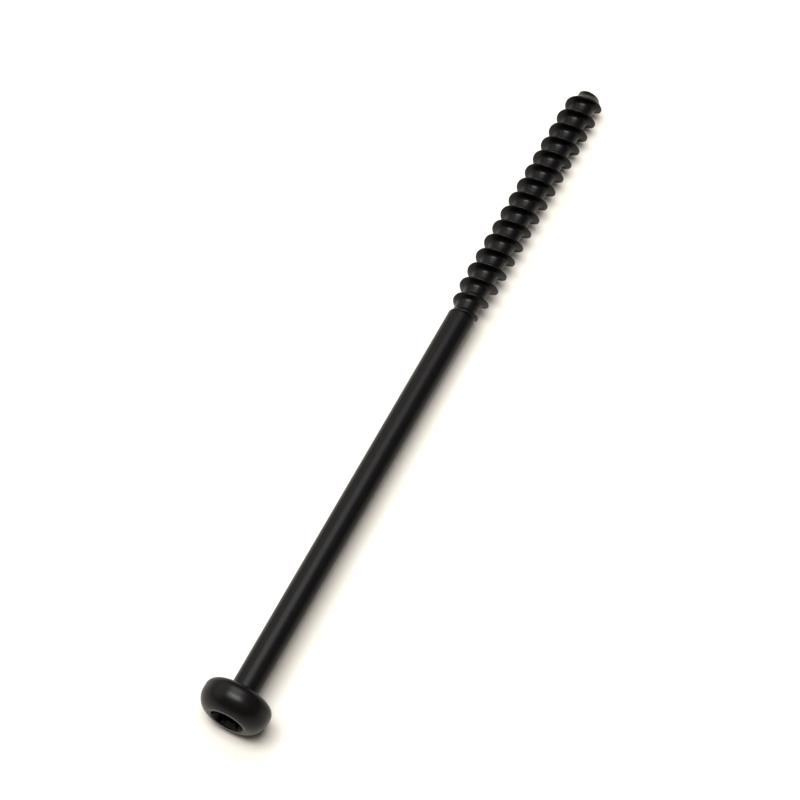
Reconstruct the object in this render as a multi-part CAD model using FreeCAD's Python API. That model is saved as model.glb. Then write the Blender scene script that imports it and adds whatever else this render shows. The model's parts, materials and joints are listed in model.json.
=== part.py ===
import FreeCAD, Part
import math
import os

# Long steel screw with a black coating, made in one piece: a thick rounded pan head with a
# six-lobe socket, a long plain shank, and a coarse, deep, single-start right-hand thread that
# ends in a blunt tip. All sizes in mm.
# The screw is drawn along its own X axis, with X = 0 on the seat under the head and the tip
# towards +X, and is then laid down on z = 0 as it comes to rest, on the rim of its head and
# on one of the last full crests of its thread.

# Head
head_diameter = 14.2
head_height = 6.3
face_diameter = 8.6        # flat ring round the socket
crown_start = 2.3          # height above the seat where the side turns into the crown
head_edge_radius = 1.5     # rounding from the side to the seat
neck_radius = 0.5          # fillet where the shank leaves the seat

# Six-lobe socket, size 40
socket_across_lobes = 6.75
socket_across_valleys = 4.85
lobe_radius = 0.55
socket_depth = 3.6
socket_lead_in = 0.35      # how far the countersink reaches past the lobes
lead_in_angle = 22.0       # slope of the countersink, from the face
socket_floor_depth = 0.5   # shallow cone that the punch leaves below the lobes
socket_turn = 0.0          # turn of the socket about the axis, degrees

# Plain shank
shank_diameter = 5.7
shank_length = 92.1        # from the seat to the start of the chamfer
shank_chamfer = 0.6        # length of the chamfer down to the thread's core

# Thread
thread_diameter = 8.0
core_diameter = 4.7
pitch = 3.8
crest_width = 0.3
flank_angle = 15.0         # each flank, from square to the axis
thread_start = 91.0        # from the seat, where the first ridge leaves the shank
thread_start_angle = 282.7
run_in_length = 12.0       # the crest grows to its full height over this length
run_out_length = 4.1       # the crest sinks again over this length before the tip
run_out_shoulder = 0.55    # how far it has sunk when it drops into the core
tip_drop_length = 0.9      # length of that last drop
ridge_root = 0.3           # how far the ridge is sunk into the core

# Tip
screw_length = 152.2       # from the seat to the end of the tip
tip_chamfer = 0.35
tip_margin = 0.05          # between the end of the ridge and the end face

points_per_turn = 14       # points that each turn of the ridge is drawn through

head_radius = head_diameter / 2
shank_radius = shank_diameter / 2
thread_radius = thread_diameter / 2
core_radius = core_diameter / 2
root_radius = core_radius - ridge_root
flank_slope = math.tan(math.radians(flank_angle))
root_half_width = crest_width / 2 + (thread_radius - root_radius) * flank_slope
thread_end = screw_length - root_half_width - tip_margin
drop_start = thread_end - tip_drop_length


def line(a, b):
    return Part.LineSegment(FreeCAD.Vector(*a), FreeCAD.Vector(*b)).toShape()


def arc(a, middle, b):
    return Part.Arc(FreeCAD.Vector(*a), FreeCAD.Vector(*middle), FreeCAD.Vector(*b)).toShape()


def on_arc(centre, radius, angle):
    """Point of a circle in the XY plane, angle in degrees from +X."""
    turn = math.radians(angle)
    return (centre[0] + radius * math.cos(turn), centre[1] + radius * math.sin(turn), 0)


def turned_body():
    """Head, shank, core and tip as one turned profile, X along the axis and Y outwards."""
    face_radius = face_diameter / 2
    crown_height = head_height - crown_start
    crown_reach = head_radius - face_radius
    crown_radius = (crown_reach ** 2 + crown_height ** 2) / (2 * crown_reach)
    crown_centre = (-crown_start, head_radius - crown_radius)
    crown_angle = math.degrees(math.atan2(crown_height, face_radius - crown_centre[1]))
    edge_centre = (-head_edge_radius, head_radius - head_edge_radius)
    neck_centre = (neck_radius, shank_radius + neck_radius)
    core_start = shank_length + shank_chamfer
    tip_start = screw_length - tip_chamfer

    corners = [
        (screw_length, 0, 0),
        (screw_length, core_radius - tip_chamfer, 0),
        (tip_start, core_radius, 0),
        (core_start, core_radius, 0),
        (shank_length, shank_radius, 0),
        (neck_radius, shank_radius, 0),
    ]
    edges = [line(a, b) for a, b in zip(corners, corners[1:])]
    edges.append(arc(corners[-1], on_arc(neck_centre, neck_radius, 225),
                     (0, shank_radius + neck_radius, 0)))
    edges.append(line((0, shank_radius + neck_radius, 0), (0, edge_centre[1], 0)))
    edges.append(arc((0, edge_centre[1], 0), on_arc(edge_centre, head_edge_radius, 45),
                     (-head_edge_radius, head_radius, 0)))
    edges.append(line((-head_edge_radius, head_radius, 0), (-crown_start, head_radius, 0)))
    edges.append(arc((-crown_start, head_radius, 0),
                     on_arc(crown_centre, crown_radius, 90 + crown_angle / 2),
                     (-head_height, face_radius, 0)))
    edges.append(line((-head_height, face_radius, 0), (-head_height, 0, 0)))
    edges.append(line((-head_height, 0, 0), (screw_length, 0, 0)))
    profile = Part.Face(Part.Wire(edges))
    return profile.revolve(FreeCAD.Vector(0, 0, 0), FreeCAD.Vector(1, 0, 0), 360)


def socket_cutter():
    """Six lobes joined by six tangent valleys, with a countersunk mouth and a shallow floor."""
    lobe_centre = socket_across_lobes / 2 - lobe_radius
    valley = socket_across_valleys / 2
    cosine = math.cos(math.radians(30))
    valley_radius = ((lobe_centre ** 2 + valley ** 2 - 2 * lobe_centre * valley * cosine
                      - lobe_radius ** 2) / (2 * (lobe_radius + lobe_centre * cosine - valley)))
    valley_centre = valley + valley_radius

    def polar(radius, angle):
        turn = math.radians(angle + socket_turn)
        return FreeCAD.Vector(0, radius * math.cos(turn), radius * math.sin(turn))

    edges = []
    for lobe in range(6):
        middle = 60 * lobe
        centre = polar(lobe_centre, middle)
        before = polar(valley_centre, middle - 30)
        after = polar(valley_centre, middle + 30)
        next_centre = polar(lobe_centre, middle + 60)
        start = centre + (before - centre).normalize() * lobe_radius
        end = centre + (after - centre).normalize() * lobe_radius
        edges.append(Part.Arc(start, polar(socket_across_lobes / 2, middle), end).toShape())
        following = next_centre + (after - next_centre).normalize() * lobe_radius
        edges.append(Part.Arc(end, polar(valley, middle + 30), following).toShape())
    outline = Part.Face(Part.Wire(edges))
    floor_x = -head_height + socket_depth
    overrun = 1.0      # the cutter starts this far outside the face
    lobes = outline.extrude(FreeCAD.Vector(socket_depth + overrun, 0, 0))
    lobes.translate(FreeCAD.Vector(-head_height - overrun, 0, 0))

    lead_slope = math.tan(math.radians(lead_in_angle))
    mouth = socket_across_lobes / 2 + socket_lead_in
    wide = mouth + overrun / lead_slope
    along = FreeCAD.Vector(1, 0, 0)
    lead_in = Part.makeCone(wide, 0, wide * lead_slope,
                            FreeCAD.Vector(-head_height - overrun, 0, 0), along)
    floor_cone = Part.makeCone(valley, 0, socket_floor_depth,
                               FreeCAD.Vector(floor_x, 0, 0), along)
    return lobes.fuse([lead_in, floor_cone])


def crest_radius(x):
    """Radius of the thread's crest at x: it grows out of the shank, and sinks at the tip."""
    if x < thread_start + run_in_length:
        grown = math.sin((x - thread_start) / run_in_length * math.pi / 2)
        start_radius = shank_radius - ridge_root / 2
        return start_radius + (thread_radius - start_radius) * grown
    sink_start = drop_start - run_out_length
    if x <= sink_start:
        return thread_radius
    shoulder = thread_radius - run_out_shoulder
    if x <= drop_start:
        sunk = (x - sink_start) / run_out_length
        return thread_radius - run_out_shoulder * (1 - math.cos(sunk * math.pi / 2))
    dropped = (x - drop_start) / tip_drop_length
    low = core_radius - ridge_root / 2
    return shoulder - (shoulder - low) * math.sin(dropped * math.pi / 2) ** 2


def ridge_section(x):
    """The four corners of the ridge whose crest is at x. Its flanks stay where they are
    when the crest is lower, so a lower crest is wider, as on a rolled thread."""
    turn = math.radians(thread_start_angle + 360 * (x - thread_start) / pitch)
    crest = crest_radius(x)
    half_crest = crest_width / 2 + (thread_radius - crest) * flank_slope
    corners = [(-root_half_width, root_radius), (-half_crest, crest),
               (half_crest, crest), (root_half_width, root_radius)]
    return [FreeCAD.Vector(x + offset, radius * math.cos(turn), radius * math.sin(turn))
            for offset, radius in corners]


def ridge_turn(first, last):
    """Faces of one length of the ridge, and the outlines of its two ends."""
    steps = max(6, int(math.ceil((last - first) / pitch * points_per_turn)))
    shares = [step / steps for step in range(steps + 1)]
    rails = list(zip(*[ridge_section(first + (last - first) * share) for share in shares]))
    edges = []
    for rail in rails:
        curve = Part.BSplineCurve()
        curve.interpolate(Points=list(rail), Parameters=shares)
        edges.append(curve.toShape())
    faces = [Part.makeRuledSurface(a, b) for a, b in zip(edges, edges[1:] + edges[:1])]
    return faces, [rail[0] for rail in rails], [rail[-1] for rail in rails]


def thread_ridge():
    """The whole helical ridge as one solid, its faces a turn long so that they cut well."""
    turns = int(math.ceil((drop_start - thread_start) / pitch))
    marks = [thread_start + pitch * turn for turn in range(turns)] + [drop_start, thread_end]
    lengths = [ridge_turn(first, last) for first, last in zip(marks, marks[1:])]
    faces = [face for length in lengths for face in length[0]]
    for outline in (lengths[0][1], lengths[-1][2]):
        faces.append(Part.Face(Part.makePolygon(outline + outline[:1])))
    shell = Part.Shell(faces)
    shell.sewShape()
    ridge = Part.Solid(shell)
    if ridge.Volume < 0:
        ridge.reverse()
    return ridge


def resting_tilt():
    """Angle by which the axis drops towards the tip when head and thread both touch down.

    In the screw's own frame the floor is a line tangent to the rounded edge of the head, and
    it may not cut any crest that points down. The flattest such line is the one it rests on.
    """
    edge_height = head_radius - head_edge_radius
    down = (270 - thread_start_angle) % 360 / 360 * pitch
    tilt = math.radians(90)
    x = thread_start + down
    while x < thread_end:
        along = x + head_edge_radius
        rise = edge_height - crest_radius(x)
        angle = math.atan2(rise, along) + math.asin(head_edge_radius / math.hypot(along, rise))
        tilt = min(tilt, angle)
        x += pitch
    return tilt


def resting_placement():
    """Lays the screw down on z = 0 with the middle of its footprint at the origin."""
    tilt = resting_tilt()
    sine, cosine = math.sin(tilt), math.cos(tilt)
    lowest = (head_edge_radius * sine - (head_radius - head_edge_radius) * cosine
              - head_edge_radius)
    back = -head_height * cosine - face_diameter / 2 * sine
    front = screw_length * cosine + (core_radius - tip_chamfer) * sine
    turn = FreeCAD.Rotation(FreeCAD.Vector(0, 1, 0), math.degrees(tilt))
    return FreeCAD.Placement(FreeCAD.Vector(-(back + front) / 2, 0, -lowest), turn)


def main():
    screw = turned_body().fuse(thread_ridge())
    screw = screw.cut(socket_cutter())
    solid = screw.Solids[0]
    placement = resting_placement()
    solid.Placement = placement.multiply(solid.Placement)

    os.makedirs("parts", exist_ok=True)
    solid.exportStep("parts/screw.step")

    axis = placement.Rotation.multVec(FreeCAD.Vector(1, 0, 0))
    for name, x in (("seat", 0), ("face", -head_height), ("tip", screw_length),
                    ("thread middle", (thread_start + thread_end) / 2)):
        print(name, placement.multVec(FreeCAD.Vector(x, 0, 0)))
    print("axis", axis, "tilt", math.degrees(resting_tilt()))
    print("solids", len(screw.Solids), "valid", solid.isValid(), "volume", solid.Volume)
    print("box", solid.optimalBoundingBox(False, False))


main()
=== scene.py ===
import json
import math

import bmesh
import bpy
from mathutils import Matrix, Vector

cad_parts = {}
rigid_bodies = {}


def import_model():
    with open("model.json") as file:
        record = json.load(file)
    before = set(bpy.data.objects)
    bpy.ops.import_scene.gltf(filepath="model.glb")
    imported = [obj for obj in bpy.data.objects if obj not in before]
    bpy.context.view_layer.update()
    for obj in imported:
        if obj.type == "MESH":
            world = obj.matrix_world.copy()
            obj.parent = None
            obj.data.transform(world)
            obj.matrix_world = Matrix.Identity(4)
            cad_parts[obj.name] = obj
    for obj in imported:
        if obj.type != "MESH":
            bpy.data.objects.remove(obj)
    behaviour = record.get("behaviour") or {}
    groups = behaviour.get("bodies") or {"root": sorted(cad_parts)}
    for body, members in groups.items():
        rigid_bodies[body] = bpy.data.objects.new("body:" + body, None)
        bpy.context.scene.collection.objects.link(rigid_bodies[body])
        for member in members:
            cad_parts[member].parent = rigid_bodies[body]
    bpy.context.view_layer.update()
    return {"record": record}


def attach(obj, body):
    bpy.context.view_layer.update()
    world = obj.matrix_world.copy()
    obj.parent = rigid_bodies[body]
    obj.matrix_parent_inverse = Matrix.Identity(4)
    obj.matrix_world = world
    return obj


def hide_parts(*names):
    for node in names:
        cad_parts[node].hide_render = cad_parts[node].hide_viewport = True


# Long black pan head screw with a coarse thread, lying on a pale floor.

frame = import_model()
mm = 0.001

print("frame loaded")


# The screw lies along its own axis: x runs from the seat under the head to the tip.
mounts = {mount["name"]: mount for mount in frame["record"]["mounts"]}
faceCentre = Vector(mounts["driver_socket"]["pos_m"])
screwAxis = -Vector(mounts["driver_socket"]["axis"]).normalized()


def linearColour(hexColour, alpha=1.0):
    channels = []
    for place in (0, 2, 4):
        value = int(hexColour[place:place + 2], 16) / 255
        channels.append(value / 12.92 if value <= 0.04045 else ((value + 0.055) / 1.055) ** 2.4)
    return (*channels, alpha)


def addNode(tree, kind, settings=None, inputs=None):
    node = tree.nodes.new(kind)
    for name, value in (settings or {}).items():
        setattr(node, name, value)
    for name, value in (inputs or {}).items():
        socket = node.inputs[name]
        if isinstance(value, bpy.types.NodeSocket):
            tree.links.new(value, socket)
        else:
            socket.default_value = value
    return node


def evaluatedMesh(piece):
    depsgraph = bpy.context.evaluated_depsgraph_get()
    return bpy.data.meshes.new_from_object(piece.evaluated_get(depsgraph))


def openEdges(mesh):
    return sum(1 for edge in mesh.edges if len(edge.link_faces) != 2)


# Turned body: head with its socket, shank and tip, all in millimetres along the screw.
bodyValues = {
    "headDiameter": 14.2, "headHeight": 6.3, "faceDiameter": 8.6, "crownStart": 2.66,
    "headEdgeRadius": 1.84, "neckRadius": 0.5, "faceEdgeRadius": 0.35, "crownSteps": 26,
    "socketAcrossLobes": 6.75, "socketAcrossValleys": 4.85, "lobeRadius": 0.55,
    "socketDepth": 3.6, "socketFloorDepth": 0.5, "socketFloorSteps": 6,
    "socketLeadIn": 0.15, "leadInAngle": 69.0, "socketEdge": 0.09,
    "shankDiameter": 5.7, "shankLength": 92.1, "shankChamfer": 0.6, "shankEdge": 0.12,
    "coreDiameter": 4.7,
    "coreHidden": 0.45,        # how much thinner it is along the thread, whose own core covers it
    "screwLength": 152.2, "tipChamfer": 0.35, "tipFaceRadius": 0.6,
    "tipBodyStart": 149.4, "tipBodyRise": 0.3,
    "tipBodyProud": 0.01,      # keeps the tip's wall off the thread's root where both meet
    "columns": 288,
    "sharpAngle": 32.0,        # edges that turn by more than this stay crisp
}

seatCentre = faceCentre + screwAxis * bodyValues["headHeight"] * mm


def lobeReach(angle, values):
    # distance from the axis to the socket's wall, lobes at every 60 degrees from 0
    lobeRadius = values["lobeRadius"]
    lobeCentre = values["socketAcrossLobes"] / 2 - lobeRadius
    valley = values["socketAcrossValleys"] / 2
    halfLobe = math.radians(30)
    cosine = math.cos(halfLobe)
    valleyRadius = ((lobeCentre ** 2 + valley ** 2 - 2 * lobeCentre * valley * cosine
                     - lobeRadius ** 2) / (2 * (lobeRadius + lobeCentre * cosine - valley)))
    valleyCentre = valley + valleyRadius
    # both circles touch on the line between their centres
    share = lobeRadius / (lobeRadius + valleyRadius)
    touchX = lobeCentre + (valleyCentre * cosine - lobeCentre) * share
    touchY = valleyCentre * math.sin(halfLobe) * share
    touchAngle = math.atan2(touchY, touchX)
    turn = abs((angle + halfLobe) % math.radians(60) - halfLobe)
    if turn <= touchAngle:
        side = lobeCentre * math.sin(turn)
        return lobeCentre * math.cos(turn) + math.sqrt(lobeRadius ** 2 - side ** 2)
    turn = halfLobe - turn
    side = valleyCentre * math.sin(turn)
    return valleyCentre * math.cos(turn) - math.sqrt(valleyRadius ** 2 - side ** 2)


def roundedOutline(corners):
    # corners are (x, radius, rounding, steps); each rounding is an arc that touches both sides
    outline = []
    for index, (x, reach, rounding, steps) in enumerate(corners):
        here = Vector((x, reach))
        if not rounding:
            outline.append(here)
            continue
        before = (Vector(corners[index - 1][:2]) - here).normalized()
        after = (Vector(corners[index + 1][:2]) - here).normalized()
        half = before.angle(after) / 2
        centre = here + (before + after).normalized() * rounding / math.sin(half)
        start = here + before * rounding / math.tan(half) - centre
        end = here + after * rounding / math.tan(half) - centre
        sweep = start.angle(end)
        for step in range(steps + 1):
            share = step / steps
            point = start * math.sin((1 - share) * sweep) + end * math.sin(share * sweep)
            outline.append(centre + point / math.sin(sweep))
    return outline


def crownOutline(values):
    # one arc from the rim of the flat face down to the head's upright side
    headRadius = values["headDiameter"] / 2
    faceRadius = values["faceDiameter"] / 2
    height = values["headHeight"] - values["crownStart"]
    reach = headRadius - faceRadius
    radius = (reach ** 2 + height ** 2) / (2 * reach)
    sweep = math.atan2(height, faceRadius - (headRadius - radius))
    outline = []
    for step in range(values["crownSteps"] + 1):
        turn = sweep * (1 - step / values["crownSteps"])
        outline.append(Vector((-values["crownStart"] - radius * math.sin(turn),
                               headRadius - radius + radius * math.cos(turn))))
    return outline


def bodyOutline(values):
    # from the rim of the flat face, over the head and along the shank, to the end face
    headRadius = values["headDiameter"] / 2
    faceRadius = values["faceDiameter"] / 2
    shankRadius = values["shankDiameter"] / 2
    coreRadius = values["coreDiameter"] / 2
    hiddenRadius = coreRadius - values["coreHidden"]
    tipRadius = coreRadius + values["tipBodyProud"]
    shankEnd = values["shankLength"]
    coreStart = shankEnd + values["shankChamfer"]
    tipStart = values["tipBodyStart"]
    length = values["screwLength"]
    crown = crownOutline(values)
    # a small rounding from the face to the crown stands in for the crown's first points
    skipped = 3
    rim = roundedOutline([
        (-values["headHeight"], faceRadius - 1, 0, 0),       # only gives the face's direction
        (-values["headHeight"], faceRadius, values["faceEdgeRadius"], 5),
        (*crown[skipped - 1], 0, 0),
    ])[1:-1]
    rest = roundedOutline([
        (-values["crownStart"], headRadius, 0, 0),
        (0, headRadius, values["headEdgeRadius"], 14),
        (0, shankRadius, values["neckRadius"], 7),
        (shankEnd, shankRadius, values["shankEdge"], 3),
        (coreStart, coreRadius, 0, 0),
        (coreStart + values["coreHidden"], hiddenRadius, 0, 0),
        (tipStart, hiddenRadius, 0, 0),
        (tipStart + values["tipBodyRise"], tipRadius, 0, 0),
        (length, tipRadius, values["tipChamfer"], 6),
        (length, values["tipFaceRadius"], 0, 0),
    ])
    return rim + crown[skipped:-1] + rest


def socketRings(values):
    # rings of (x, radius) from the socket's floor, up its wall and out to the flat face
    height = values["headHeight"]
    slope = math.tan(math.radians(values["leadInAngle"]))
    mouth = values["socketAcrossLobes"] / 2 + values["socketLeadIn"]
    valley = values["socketAcrossValleys"] / 2
    floorX = values["socketDepth"] - height
    edge = values["socketEdge"]
    columns = values["columns"]
    floorBend, lipBend, mouthBend = 0.3, 0.2, 0.25      # how far each small edge is cut back
    reaches = [lobeReach(2 * math.pi * column / columns, values) for column in range(columns)]

    def coneX(reach):
        return -height + (mouth - reach) * slope

    rings = []
    for step in range(1, values["socketFloorSteps"] + 1):       # from the punch mark outwards
        share = step / values["socketFloorSteps"]
        rings.append([(floorX + values["socketFloorDepth"] * (1 - share), (valley - edge) * share)
                      for reach in reaches])
    rings.append([(floorX, reach - edge) for reach in reaches])
    rings.append([(floorX - edge * floorBend, reach - edge * floorBend) for reach in reaches])
    rings.append([(floorX - edge, reach) for reach in reaches])
    for share in (0.35, 0.7):                                   # up the wall
        rings.append([(floorX + (coneX(reach) + edge - floorX) * share, reach)
                      for reach in reaches])
    rings.append([(coneX(reach) + edge, reach) for reach in reaches])
    rings.append([(coneX(reach + edge * floorBend) + edge * lipBend, reach + edge * lipBend)
                  for reach in reaches])
    rings.append([(coneX(reach + edge), reach + edge) for reach in reaches])
    for share in (0.5, 1.0):                                    # lead-in, out to the face
        rings.append([(coneX(reach + edge + (mouth - edge - reach - edge) * share),
                       reach + edge + (mouth - edge - reach - edge) * share)
                      for reach in reaches])
    rings.append([(-height + edge * slope * mouthBend, mouth) for reach in reaches])
    rings.append([(-height, mouth + edge) for reach in reaches])
    return rings


def turnedBody(values):
    columns = values["columns"]
    rings = socketRings(values)
    for x, reach in bodyOutline(values):
        rings.append([(x, reach)] * columns)

    mesh = bmesh.new()
    rows = []
    for ring in rings:
        row = []
        for column, (x, reach) in enumerate(ring):
            angle = 2 * math.pi * column / columns
            row.append(mesh.verts.new((x, reach * math.cos(angle), reach * math.sin(angle))))
        rows.append(row)
    for inner, outer in zip(rows, rows[1:]):
        for column in range(columns):
            following = (column + 1) % columns
            mesh.faces.new((inner[column], outer[column], outer[following], inner[following]))
    floorMiddle = values["socketDepth"] - values["headHeight"] + values["socketFloorDepth"]
    for row, x in ((rows[0], floorMiddle), (rows[-1], values["screwLength"])):
        centre = mesh.verts.new((x, 0, 0))
        for column in range(columns):
            mesh.faces.new((row[column], row[(column + 1) % columns], centre))
    bmesh.ops.recalc_face_normals(mesh, faces=mesh.faces)
    print("turned body:", len(mesh.faces), "faces,", openEdges(mesh), "open edges")
    data = bpy.data.meshes.new("turnedBody")
    mesh.to_mesh(data)
    mesh.free()
    body = bpy.data.objects.new("turnedBody", data)
    bpy.context.scene.collection.objects.link(body)
    return body


# Thread: one strip that winds round the core, one pitch wide, made by Geometry Nodes.
# Lengths are in millimetres, and places along the screw are counted from the seat.
threadValues = {
    "Thread Radius": 4.0, "Core Radius": bodyValues["coreDiameter"] / 2, "Pitch": 3.8,
    "Crest Width": 0.3, "Flank Angle": math.radians(15.0), "Root Fillet": 0.85,
    "Crest Rounding": 0.07, "Fillet Points": 5, "Steps Per Turn": 112,
    "Start": 90.75, "Start Angle": math.radians(282.7), "Start Radius": 2.7,
    "Run In": 12.0,            # the crest grows to its full height over this length
    "End": 151.75, "Run Out": 5.1,
    "Shoulder": 0.4,           # how far the crest has sunk at the end of the run-out
    "Drop": 0.9,               # length of the last drop into the tip
    "Drop Below": 0.15,        # how far under the core that drop ends
    "Cone Start": 148.75, "Cone Growth": 1.1, "Cone End": 152.02, "Cone Sink": 0.2,
    "End Cap Share": 0.2,      # the strip is closed this share of a pitch before its end
    "Weld Distance": 0.0005,
}


def threadTree(material):
    tree = bpy.data.node_groups.new("helicalThread", "GeometryNodeTree")
    for name, value in threadValues.items():
        kind = "NodeSocketInt" if isinstance(value, int) else "NodeSocketFloat"
        socket = tree.interface.new_socket(name, in_out="INPUT", socket_type=kind)
        socket.default_value = value
    tree.interface.new_socket("Geometry", in_out="OUTPUT", socket_type="NodeSocketGeometry")
    given = addNode(tree, "NodeGroupInput").outputs
    fullTurn = 2 * math.pi
    quarter = math.pi / 2

    def calc(operation, *numbers, clamp=False):
        node = addNode(tree, "ShaderNodeMath", {"operation": operation, "use_clamp": clamp})
        for socket, number in zip(node.inputs, numbers):
            if isinstance(number, bpy.types.NodeSocket):
                tree.links.new(number, socket)
            else:
                socket.default_value = number
        return node.outputs[0]

    def choose(condition, yes, no):
        node = addNode(tree, "GeometryNodeSwitch", {"input_type": "FLOAT"},
                       {"Switch": condition, "True": yes, "False": no})
        return node.outputs[0]

    def compare(kind, operation, a, b):
        node = addNode(tree, "FunctionNodeCompare", {"data_type": kind, "operation": operation},
                       {"A": a, "B": b})
        return node.outputs[0]

    def less(a, b):
        return compare("FLOAT", "LESS_THAN", a, b)

    # section across one pitch: root, flank, crest, flank, root, with its corners rounded
    corners = 6
    tall = calc("SUBTRACT", given["Thread Radius"], given["Core Radius"])
    crestHalf = calc("MULTIPLY", given["Crest Width"], 0.5)
    rootHalf = calc("ADD", crestHalf, calc("MULTIPLY", tall, calc("TANGENT", given["Flank Angle"])))
    pitchHalf = calc("MULTIPLY", given["Pitch"], 0.5)
    index = addNode(tree, "GeometryNodeInputIndex").outputs[0]
    fromMiddle = calc("SUBTRACT", index, (corners - 1) / 2)
    nearness = calc("ABSOLUTE", fromMiddle)
    offset = choose(less(nearness, 1), crestHalf, choose(less(nearness, 2), rootHalf, pitchHalf))
    rise = choose(less(nearness, 1), tall, 0.0)
    corner = addNode(tree, "ShaderNodeCombineXYZ", None, {
        "X": calc("MULTIPLY", offset, calc("SIGN", fromMiddle)), "Y": rise})
    row = addNode(tree, "GeometryNodeMeshLine", None, {"Count": corners})
    placed = addNode(tree, "GeometryNodeSetPosition", None,
                     {"Geometry": row.outputs[0], "Position": corner.outputs[0]})
    curve = addNode(tree, "GeometryNodeMeshToCurve", None, {"Mesh": placed.outputs[0]})
    rounding = choose(less(nearness, 1), given["Crest Rounding"], given["Root Fillet"])
    section = addNode(tree, "GeometryNodeFilletCurve", {"mode": "POLY"}, {
        "Curve": curve.outputs[0], "Radius": rounding, "Limit Radius": True,
        "Count": given["Fillet Points"]})
    across = addNode(tree, "GeometryNodeAttributeDomainSize", {"component": "CURVE"},
                     {"Geometry": section.outputs[0]}).outputs["Point Count"]

    # strip: one row of points per step round the screw, one column per point of the section
    lengthStart = calc("SUBTRACT", given["Start"], given["Pitch"])
    steps = calc("CEIL", calc("MULTIPLY", given["Steps Per Turn"], calc(
        "DIVIDE", calc("SUBTRACT", given["End"], lengthStart), given["Pitch"])))
    grid = addNode(tree, "GeometryNodeMeshGrid", None,
                   {"Vertices X": calc("ADD", steps, 1), "Vertices Y": across})
    rowNumber = calc("FLOOR", calc("DIVIDE", calc("ADD", index, 0.5), across))
    column = calc("SUBTRACT", index, calc("MULTIPLY", rowNumber, across))
    sample = addNode(tree, "GeometryNodeSampleIndex", {"data_type": "FLOAT_VECTOR"}, {
        "Geometry": section.outputs[0], "Index": column,
        "Value": addNode(tree, "GeometryNodeInputPosition").outputs[0]})
    point = addNode(tree, "ShaderNodeSeparateXYZ", None, {"Vector": sample.outputs[0]})
    turns = calc("DIVIDE", rowNumber, given["Steps Per Turn"])
    crestX = calc("MINIMUM", calc("ADD", lengthStart, calc("MULTIPLY", turns, given["Pitch"])),
                  given["End"])
    angle = calc("ADD", given["Start Angle"], calc("MULTIPLY", calc(
        "DIVIDE", calc("SUBTRACT", crestX, given["Start"]), given["Pitch"]), fullTurn))

    # height of the crest: it grows out of the shank, sinks slowly, then drops into the tip
    grown = calc("SINE", calc("MULTIPLY", calc("DIVIDE", calc(
        "SUBTRACT", crestX, given["Start"]), given["Run In"], clamp=True), quarter))
    startRise = calc("SUBTRACT", given["Start Radius"], given["Core Radius"])
    rising = calc("ADD", startRise, calc("MULTIPLY", calc("SUBTRACT", tall, startRise), grown))
    dropStart = calc("SUBTRACT", given["End"], given["Drop"])
    sinkStart = calc("SUBTRACT", dropStart, given["Run Out"])
    sunk = calc("DIVIDE", calc("SUBTRACT", crestX, sinkStart), given["Run Out"], clamp=True)
    sinking = calc("MULTIPLY", given["Shoulder"], calc(
        "SUBTRACT", 1.0, calc("COSINE", calc("MULTIPLY", sunk, quarter))))
    dropped = calc("DIVIDE", calc("SUBTRACT", crestX, dropStart), given["Drop"], clamp=True)
    dropShare = calc("POWER", calc("SINE", calc("MULTIPLY", dropped, quarter)), 2.0)
    shoulderRise = calc("SUBTRACT", rising, sinking)
    crestRise = calc("SUBTRACT", shoulderRise, calc(
        "MULTIPLY", dropShare, calc("ADD", shoulderRise, given["Drop Below"])))
    reach = calc("ADD", given["Core Radius"], calc(
        "MULTIPLY", point.outputs["Y"], calc("DIVIDE", crestRise, tall)))

    # on the last turn the tip side widens into a cone that ends inside the tip
    room = calc("SUBTRACT", given["Cone End"], crestX)
    coned = calc("DIVIDE", calc("SUBTRACT", crestX, given["Cone Start"]), given["Cone Growth"],
                 clamp=True)
    flankWidth = calc("SUBTRACT", rootHalf, crestHalf)
    coneWidth = calc("SUBTRACT", calc("MAXIMUM", room, rootHalf), crestHalf)
    pastCrest = calc("MAXIMUM", calc("SUBTRACT", point.outputs["X"], crestHalf), 0.0)
    widened = calc("MULTIPLY", calc("MULTIPLY", pastCrest, coned), calc(
        "SUBTRACT", calc("DIVIDE", coneWidth, flankWidth), 1.0))
    sectionX = calc("MINIMUM", calc("ADD", point.outputs["X"], widened), room)
    sink = calc("MULTIPLY", calc("MULTIPLY", coned, given["Cone Sink"]), calc(
        "DIVIDE", pastCrest, flankWidth, clamp=True))
    sunkReach = calc("SUBTRACT", reach, sink)
    place = addNode(tree, "ShaderNodeCombineXYZ", None, {
        "X": calc("ADD", crestX, sectionX),
        "Y": calc("MULTIPLY", sunkReach, calc("COSINE", angle)),
        "Z": calc("MULTIPLY", sunkReach, calc("SINE", angle))})
    wound = addNode(tree, "GeometryNodeSetPosition", None,
                    {"Geometry": grid.outputs[0], "Position": place.outputs[0]})
    joined = addNode(tree, "GeometryNodeMergeByDistance", None,
                     {"Geometry": wound.outputs[0], "Distance": given["Weld Distance"]})

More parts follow.
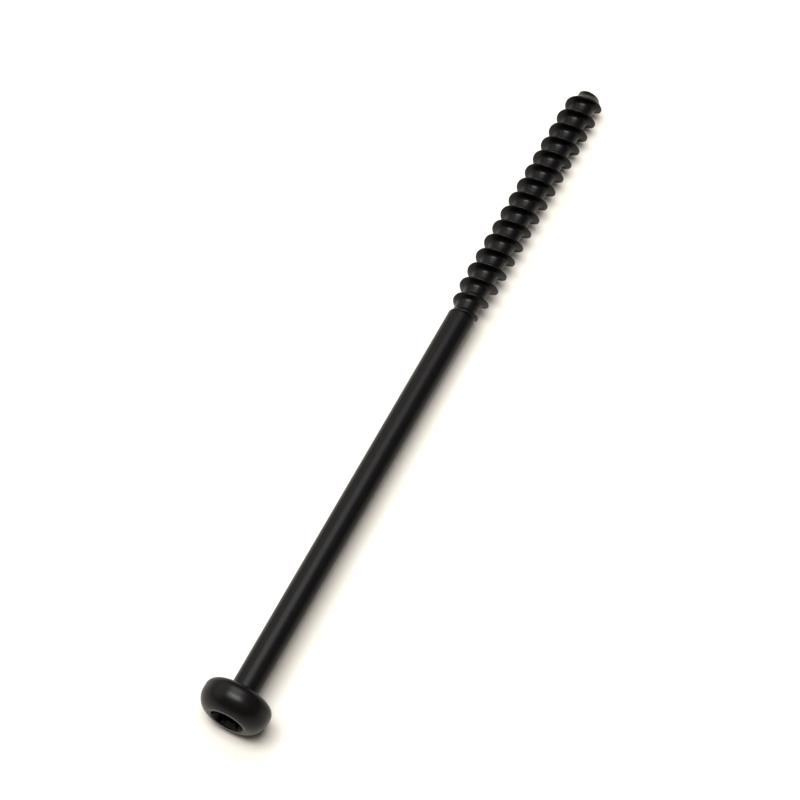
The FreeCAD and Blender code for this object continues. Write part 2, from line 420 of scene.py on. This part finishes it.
    # both open ends are closed towards the axis, inside the shank and inside the tip
    neighbours = addNode(tree, "GeometryNodeInputMeshEdgeNeighbors").outputs[0]
    closing = addNode(tree, "GeometryNodeExtrudeMesh", {"mode": "EDGES"}, {
        "Mesh": joined.outputs[0], "Selection": compare("INT", "EQUAL", neighbours, 1),
        "Offset Scale": 0.0})
    here = addNode(tree, "ShaderNodeSeparateXYZ", None,
                   {"Vector": addNode(tree, "GeometryNodeInputPosition").outputs[0]})
    nearStart = less(here.outputs["X"], calc("ADD", given["Start"], given["Pitch"]))
    endX = calc("SUBTRACT", given["End"], calc("MULTIPLY", given["Pitch"], given["End Cap Share"]))
    endPoint = addNode(tree, "ShaderNodeCombineXYZ", None,
                       {"X": choose(nearStart, lengthStart, endX)})
    gathered = addNode(tree, "GeometryNodeSetPosition", None, {
        "Geometry": closing.outputs["Mesh"], "Selection": closing.outputs["Top"],
        "Position": endPoint.outputs[0]})
    closed = addNode(tree, "GeometryNodeMergeByDistance", None,
                     {"Geometry": gathered.outputs[0], "Distance": given["Weld Distance"]})
    real = addNode(tree, "GeometryNodeRealizeInstances", None, {"Geometry": closed.outputs[0]})
    coated = addNode(tree, "GeometryNodeSetMaterial", None,
                     {"Geometry": real.outputs[0], "Material": material})
    addNode(tree, "NodeGroupOutput", None, {"Geometry": coated.outputs[0]})
    return tree


def helicalThread(material):
    holder = bpy.data.objects.new("helicalThread", bpy.data.meshes.new("helicalThread"))
    bpy.context.scene.collection.objects.link(holder)
    modifier = holder.modifiers.new("thread", "NODES")
    tree = threadTree(material)
    modifier.node_group = tree
    for item in tree.interface.items_tree:
        if item.in_out == "INPUT":
            modifier[item.identifier] = threadValues[item.name]
    data = evaluatedMesh(holder)
    holder.modifiers.remove(modifier)
    holder.data = data
    mesh = bmesh.new()
    mesh.from_mesh(data)
    bmesh.ops.recalc_face_normals(mesh, faces=mesh.faces)
    print("thread strip:", len(mesh.faces), "faces,", openEdges(mesh), "open edges, volume",
          round(mesh.calc_volume(), 2), "mm3")
    mesh.to_mesh(data)
    mesh.free()
    return holder


# Finish: steel with a thin dipped black coating, satin. It gives the eye a nearly even black
# with broad, soft highlights, which the coat's grain and its slight runs break up a little.
coatingValues = {
    "colour": "0C0C0D", "lighterColour": "111010",
    "roughness": 0.33, "roughnessSpread": 0.06, "ior": 1.5, "specular": 0.14,
    # the real grain is about 0.05 mm, too fine to show, so it is drawn coarser
    "grainSize": 0.35, "grainDepth": 0.004, "grainDetail": 3.0, "grainStrength": 0.5,
    "unevenSize": 3.0, "unevenDepth": 0.02, "unevenDetail": 4.0, "unevenStrength": 0.6,
    "noiseLow": 0.3, "noiseHigh": 0.7,      # nearly all of the noise lies between these
}


def blackCoating(values):
    material = bpy.data.materials.new("satinBlackCoatedSteel")
    material.use_nodes = True
    tree = material.node_tree
    shader = tree.nodes["Principled BSDF"]
    coordinates = addNode(tree, "ShaderNodeTexCoord").outputs["Object"]
    uneven = addNode(tree, "ShaderNodeTexNoise", None, {
        "Vector": coordinates, "Scale": 1 / (values["unevenSize"] * mm),
        "Detail": values["unevenDetail"]})
    grain = addNode(tree, "ShaderNodeTexNoise", None, {
        "Vector": coordinates, "Scale": 1 / (values["grainSize"] * mm),
        "Detail": values["grainDetail"]})
    colour = addNode(tree, "ShaderNodeMix", {"data_type": "RGBA"}, {"Factor": uneven.outputs[0]})
    colour.inputs[6].default_value = linearColour(values["colour"])
    colour.inputs[7].default_value = linearColour(values["lighterColour"])
    tree.links.new(colour.outputs[2], shader.inputs["Base Color"])
    rough = addNode(tree, "ShaderNodeMapRange", None, {
        "Value": grain.outputs[0], "From Min": values["noiseLow"], "From Max": values["noiseHigh"],
        "To Min": values["roughness"] - values["roughnessSpread"],
        "To Max": values["roughness"] + values["roughnessSpread"]})
    tree.links.new(rough.outputs[0], shader.inputs["Roughness"])
    fine = addNode(tree, "ShaderNodeBump", None, {
        "Height": grain.outputs[0], "Strength": values["grainStrength"],
        "Distance": values["grainDepth"] * mm})
    wide = addNode(tree, "ShaderNodeBump", None, {
        "Height": uneven.outputs[0], "Strength": values["unevenStrength"],
        "Distance": values["unevenDepth"] * mm, "Normal": fine.outputs[0]})
    tree.links.new(wide.outputs[0], shader.inputs["Normal"])
    shader.inputs["IOR"].default_value = values["ior"]
    shader.inputs["Specular IOR Level"].default_value = values["specular"]
    return material


def joinedScrew(body, thread, material):
    union = body.modifiers.new("union", "BOOLEAN")
    union.operation = "UNION"
    union.solver = "MANIFOLD"
    union.object = thread
    data = evaluatedMesh(body)
    body.modifiers.remove(union)
    bpy.data.objects.remove(thread)
    bpy.data.objects.remove(body)
    data.name = "screw"
    data.materials.clear()
    data.materials.append(material)
    for polygon in data.polygons:
        polygon.material_index = 0
    # from the screw's own millimetres to its place in the frame
    sideways = Vector((0, 1, 0))
    up = screwAxis.cross(sideways)
    turn = Matrix((screwAxis, sideways, up)).transposed().to_4x4()
    data.transform(Matrix.Translation(seatCentre) @ turn @ Matrix.Scale(mm, 4))
    mesh = bmesh.new()
    mesh.from_mesh(data)
    print("screw:", len(mesh.faces), "faces,", openEdges(mesh), "open edges, volume",
          round(mesh.calc_volume() / mm ** 3, 1), "mm3")
    mesh.free()
    data.shade_smooth()
    data.set_sharp_from_angle(angle=math.radians(bodyValues["sharpAngle"]))
    screw = bpy.data.objects.new("blackScrew", data)
    bpy.context.scene.collection.objects.link(screw)
    return screw


coating = blackCoating(coatingValues)
screw = joinedScrew(turnedBody(bodyValues), helicalThread(coating), coating)
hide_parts("screw")
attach(screw, "root")
print("screw built")


# Floor and room
stageValues = {
    "floorSize": 6.0, "floorColour": "CAC6C0", "floorRoughness": 0.9, "floorSpecular": 0.2,
    "worldColour": "F5E6D6", "worldStrength": 0.12,
    "backdropColour": "F3F1EE", "backdropStrength": 1.0,
    "blackPoint": 0.003,
}


def paleFloor(values):
    mesh = bmesh.new()
    bmesh.ops.create_grid(mesh, x_segments=1, y_segments=1, size=values["floorSize"] / 2)
    data = bpy.data.meshes.new("floor")
    mesh.to_mesh(data)
    mesh.free()
    floor = bpy.data.objects.new("floor", data)
    bpy.context.scene.collection.objects.link(floor)
    # matt uncoated paper: no gloss, only an even pale ground that takes soft shadows
    material = bpy.data.materials.new("palePaper")
    material.use_nodes = True
    shader = material.node_tree.nodes["Principled BSDF"]
    shader.inputs["Base Color"].default_value = linearColour(values["floorColour"])
    shader.inputs["Roughness"].default_value = values["floorRoughness"]
    shader.inputs["Specular IOR Level"].default_value = values["floorSpecular"]
    data.materials.append(material)
    return floor


def paleRoom(values):
    # the room gives little light, but past the floor it is seen as a pale backdrop
    world = bpy.data.worlds.new("paleRoom")
    world.use_nodes = True
    tree = world.node_tree
    background = tree.nodes["Background"]
    seen = addNode(tree, "ShaderNodeLightPath").outputs["Is Camera Ray"]
    strength = addNode(tree, "ShaderNodeMapRange", None, {
        "Value": seen, "To Min": values["worldStrength"], "To Max": values["backdropStrength"]})
    colour = addNode(tree, "ShaderNodeMix", {"data_type": "RGBA"}, {"Factor": seen})
    colour.inputs[6].default_value = linearColour(values["worldColour"])
    colour.inputs[7].default_value = linearColour(values["backdropColour"])
    tree.links.new(strength.outputs[0], background.inputs["Strength"])
    tree.links.new(colour.outputs[2], background.inputs["Color"])
    bpy.context.scene.world = world


def printedBlacks(values):
    # as in the photo, the darkest tones go down to pure black
    look = bpy.context.scene.view_settings
    look.view_transform = "Standard"
    look.use_curve_mapping = True
    look.curve_mapping.black_level = [values["blackPoint"]] * 3
    look.curve_mapping.update()


# Camera: the distance is how deep in the view the seat lies, in millimetres, and the heading
# is how far the view is turned from looking along the screw, towards its tip.
cameraValues = {
    "lens": 130.5, "sensor": 36.0, "imageSize": 800, "clipStart": 0.01,
    "distance": 552.34, "elevation": 64.1, "heading": 27.44,
    "seatPixel": (242.43, 694.18),     # where the centre of the seat falls in the picture
}


def photoCamera(values):
    elevation = math.radians(values["elevation"])
    heading = math.radians(values["heading"])
    right = Vector((math.sin(heading), -math.cos(heading), 0))
    up = Vector((math.cos(heading) * math.sin(elevation), math.sin(heading) * math.sin(elevation),
                 math.cos(elevation)))
    forward = up.cross(right)
    distance = values["distance"] * mm
    perPixel = values["sensor"] / values["lens"] / values["imageSize"]
    middle = values["imageSize"] / 2
    sideways = (values["seatPixel"][0] - middle) * perPixel * distance
    upwards = (middle - values["seatPixel"][1]) * perPixel * distance
    place = seatCentre - right * sideways - up * upwards - forward * distance
    data = bpy.data.cameras.new("camera")
    data.lens = values["lens"]
    data.sensor_width = values["sensor"]
    data.clip_start = values["clipStart"]
    camera = bpy.data.objects.new("camera", data)
    bpy.context.scene.collection.objects.link(camera)
    turn = Matrix((right, up, -forward)).transposed().to_4x4()
    camera.matrix_world = Matrix.Translation(place) @ turn
    bpy.context.scene.camera = camera


# Soft studio lights that face the floor under the middle of the screw. The azimuth is counted
# from the tip's direction, the turn is about the light's own axis, and sizes are in metres.
lightValues = {
    "overheadSoftbox": {
        "azimuth": 112.0, "elevation": 84.5, "turn": -22.0, "distance": 4.5,
        "width": 1.8, "height": 3.15, "power": 351.0, "colour": "FFFEFC"},
    "leftWall": {
        "azimuth": 85.0, "elevation": 30.0, "turn": 0.0, "distance": 4.8,
        "width": 7.2, "height": 2.7, "power": 88.2, "colour": "FFF8F0"},
    "tipSoftbox": {
        "azimuth": 23.0, "elevation": 65.0, "turn": 67.0, "distance": 4.5,
        "width": 1.5, "height": 3.3, "power": 81.0, "colour": "FFFEFC"},
}


def studioLight(name, values):
    data = bpy.data.lights.new(name, "AREA")
    data.shape = "RECTANGLE"
    data.size = values["width"]
    data.size_y = values["height"]
    data.energy = values["power"]
    data.color = linearColour(values["colour"])[:3]
    light = bpy.data.objects.new(name, data)
    bpy.context.scene.collection.objects.link(light)
    azimuth = math.radians(values["azimuth"])
    elevation = math.radians(values["elevation"])
    direction = Vector((math.cos(elevation) * math.cos(azimuth),
                        math.cos(elevation) * math.sin(azimuth), math.sin(elevation)))
    light.matrix_world = (Matrix.Translation(direction * values["distance"])
                          @ direction.to_track_quat("Z", "Y").to_matrix().to_4x4()
                          @ Matrix.Rotation(math.radians(values["turn"]), 4, "Z"))


paleFloor(stageValues)
photoCamera(cameraValues)
for name, values in lightValues.items():
    studioLight(name, values)
paleRoom(stageValues)
printedBlacks(stageValues)
print("stage, camera and lights set")
